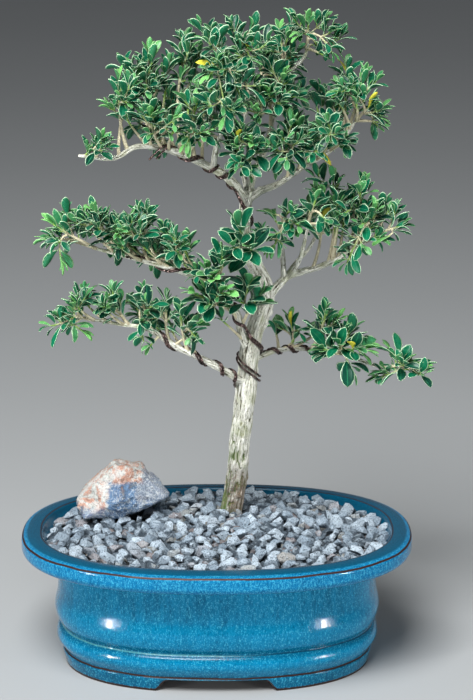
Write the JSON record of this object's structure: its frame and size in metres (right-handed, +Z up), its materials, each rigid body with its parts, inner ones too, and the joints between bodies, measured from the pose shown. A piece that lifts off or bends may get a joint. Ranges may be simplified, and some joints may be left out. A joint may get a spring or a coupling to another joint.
{
  "type": "mount fuji serissa bonsai",
  "caption": "Small variegated bonsai tree with wired limbs and leafy sprays, growing in gravel with an accent stone in a glazed oval footed pot.",
  "frame": {"origin": "bottom centre of the whole model's bounding box, on the surface that the pot stands on", "axes": "+Z up along the tree, +X to the right along the pot's length, +Y to the back"},
  "size_m": [0.2182, 0.157, 0.34],
  "materials": {
    "glazed_pot": "glossy turquoise-blue crackle glaze with thin bare clay edges",
    "drain_screen": "matt black plastic mesh",
    "soil": "dark granular bonsai soil",
    "gravel": "matt blue-grey angular gravel",
    "accent_stone": "rough stone, cream and pink with blue-grey facets",
    "bark": "pale fissured bark, mossy low down",
    "training_wire": "dark brown anodised wire",
    "foliage": "dark green leaves with cream-white margins on pale twigs"
  },
  "bodies": {
    "root": {"pot": "glazed_pot", "drain_screen_left": "drain_screen", "drain_screen_right": "drain_screen", "soil": "soil", "gravel": "gravel", "accent_stone": "accent_stone", "trunk": "bark", "wire_left_mid": "training_wire", "wire_low_pair": "training_wire", "wire_crown_left": "training_wire", "spray_crown_left_end": "foliage", "spray_crown_left_high": "foliage", "spray_crown_left_mid": "foliage", "spray_crown_left_front": "foliage", "spray_crown_left_top": "foliage", "spray_crown_left_inner": "foliage", "spray_crown_left_rear": "foliage", "spray_crown_top_left": "foliage", "spray_crown_top": "foliage", "spray_crown_mid_front": "foliage", "spray_crown_mid_top": "foliage", "spray_crown_top_right": "foliage", "spray_crown_right_end": "foliage", "spray_crown_right_high": "foliage", "spray_crown_right_front": "foliage", "spray_crown_right_inner": "foliage", "spray_crown_right_rear": "foliage", "spray_crown_heart": "foliage", "spray_crown_back_left": "foliage", "spray_crown_back_mid": "foliage", "spray_crown_back_right": "foliage", "spray_left_mid_end": "foliage", "spray_left_mid_outer": "foliage", "spray_left_mid_fork": "foliage", "spray_left_mid_high": "foliage", "spray_left_mid_front": "foliage", "spray_left_mid_rear": "foliage", "spray_left_mid_inner": "foliage", "spray_left_mid_low": "foliage", "spray_middle_front": "foliage", "spray_middle_low": "foliage", "spray_left_low_end": "foliage", "spray_left_low_outer": "foliage", "spray_left_low_mid": "foliage", "spray_left_low_rear": "foliage", "spray_left_low_inner": "foliage", "spray_right_mid_end": "foliage", "spray_right_mid_outer": "foliage", "spray_right_mid_high": "foliage", "spray_right_mid_top": "foliage", "spray_right_mid_shoot": "foliage", "spray_right_mid_back": "foliage", "spray_right_mid_front": "foliage", "spray_right_mid_rear": "foliage", "spray_right_low_inner": "foliage", "spray_right_low_high": "foliage", "spray_right_low_front": "foliage", "spray_right_low_end": "foliage"}
  },
  "joints": []
}
